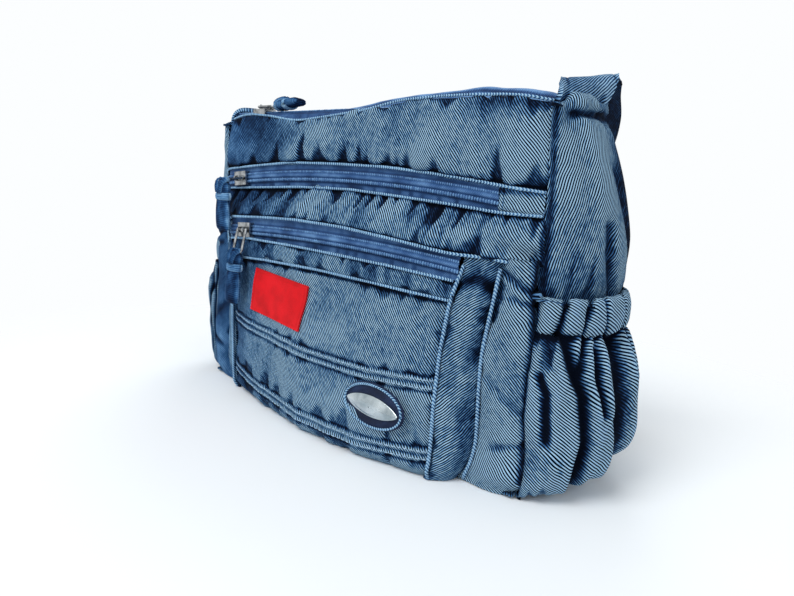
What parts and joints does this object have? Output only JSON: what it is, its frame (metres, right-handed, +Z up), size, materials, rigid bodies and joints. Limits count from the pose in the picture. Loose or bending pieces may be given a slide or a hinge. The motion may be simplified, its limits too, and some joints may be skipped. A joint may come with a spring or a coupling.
{
  "type": "denim hip bag",
  "caption": "Washed denim waist or cross-body bag with arched coil zips, raised box front pocket, elastic end pockets and a wide strap hanging behind.",
  "frame": {"origin": "middle of the flat base of the sewn shell, on the surface it stands on", "axes": "+X along the width, to the right as the front is seen; -Y out of the front; +Z up"},
  "size_m": [0.296, 0.1644, 0.189],
  "materials": {
    "washed_denim": "stone-washed indigo denim twill",
    "pale_denim": "worn indigo denim, edges bleached",
    "dark_denim": "unwashed indigo denim",
    "lining_twill": "plain woven polyester cotton",
    "zip_coil": "blue polyester tape and nylon coil",
    "nickel_steel": "nickel plated, polished",
    "woven_label": "red woven polyester, bare"
  },
  "bodies": {
    "bag": {"front_upper_panel": "washed_denim", "front_middle_panel": "washed_denim", "front_lower_panel": "washed_denim", "back_panel": "washed_denim", "bottom_panel": "dark_denim", "top_strip": "washed_denim", "right_end_panel": "washed_denim", "left_end_panel": "washed_denim", "main_lining": "lining_twill", "upper_pocket_lining": "lining_twill", "box_pocket_lining": "lining_twill", "main_zip_tape": "zip_coil", "main_zip_chain": "zip_coil", "upper_zip_tape": "zip_coil", "upper_zip_chain": "zip_coil", "lower_zip_tape": "zip_coil", "lower_zip_chain": "zip_coil", "zip_end_tab": "washed_denim", "pocket_top": "washed_denim", "pocket_face": "washed_denim", "pocket_band": "pale_denim", "pocket_gusset": "washed_denim", "pocket_piping": "pale_denim", "oval_patch": "dark_denim", "oval_plate": "nickel_steel", "woven_label": "woven_label", "right_end_pocket": "washed_denim", "right_casing": "pale_denim", "left_end_pocket": "washed_denim", "left_casing": "pale_denim", "right_strap_stub": "washed_denim", "left_strap_stub": "washed_denim"},
    "main_slider": {"main_zip_slider": "nickel_steel"},
    "main_bail": {"main_zip_bail": "nickel_steel"},
    "main_pull": {"main_zip_pull": "washed_denim"},
    "upper_slider": {"upper_zip_slider": "nickel_steel"},
    "upper_bail": {"upper_zip_bail": "nickel_steel"},
    "upper_pull": {"upper_zip_pull": "washed_denim"},
    "lower_slider": {"lower_zip_slider": "nickel_steel"},
    "lower_bail": {"lower_zip_bail": "nickel_steel"},
    "lower_pull": {"lower_zip_pull": "washed_denim"},
    "strap": {"strap": "washed_denim"},
    "adjuster": {"strap_adjuster": "nickel_steel"}
  },
  "joints": [
    {"name": "main_zip", "type": "slide", "parent": "bag", "child": "main_slider", "axis": [1, 0, 0], "range_m": [0, 0.164]},
    {"name": "main_bail_flip", "type": "hinge", "parent": "main_slider", "child": "main_bail", "pos_m": [-0.0934, -0.033, 0.17815], "axis": [0, -1, 0], "range_deg": [0, 140]},
    {"name": "main_pull_flip", "type": "hinge", "parent": "main_bail", "child": "main_pull", "pos_m": [-0.0781, -0.033, 0.17815], "axis": [0, -1, 0], "range_deg": [0, 60]},
    {"name": "upper_zip", "type": "hinge", "parent": "bag", "child": "upper_slider", "pos_m": [0, -0.04525, -0.812], "axis": [0, 1, 0], "range_deg": [0, 11.08]},
    {"name": "upper_bail_lift", "type": "hinge", "parent": "upper_slider", "child": "upper_bail", "pos_m": [-0.0954, -0.05015, 0.1332], "axis": [-0.9949, 0, -0.1004], "range_deg": [0, 70]},
    {"name": "upper_pull_swing", "type": "hinge", "parent": "upper_bail", "child": "upper_pull", "pos_m": [-0.09513, -0.06522, 0.13055], "axis": [-0.9949, 0, -0.1004], "range_deg": [0, 75]},
    {"name": "lower_zip", "type": "hinge", "parent": "bag", "child": "lower_slider", "pos_m": [0, -0.05745, -1.195], "axis": [0, 1, 0], "range_deg": [0, 6.26]},
    {"name": "lower_bail_lift", "type": "hinge", "parent": "lower_slider", "child": "lower_bail", "pos_m": [-0.072, -0.06235, 0.103], "axis": [-0.9985, 0, -0.0554], "range_deg": [0, 140]},
    {"name": "lower_pull_swing", "type": "hinge", "parent": "lower_bail", "child": "lower_pull", "pos_m": [-0.07118, -0.06605, 0.08818], "axis": [-0.9985, 0, -0.0554], "range_deg": [0, 75]},
    {"name": "strap_swing", "type": "hinge", "parent": "bag", "child": "strap", "pos_m": [0, -0.00485, 0.1893], "axis": [1, 0, 0], "range_deg": [0, 170]},
    {"name": "adjuster_slide", "type": "slide", "parent": "strap", "child": "adjuster", "axis": [0, -0.295, 0.9555], "range_m": [-0.055, 0.045]}
  ]
}
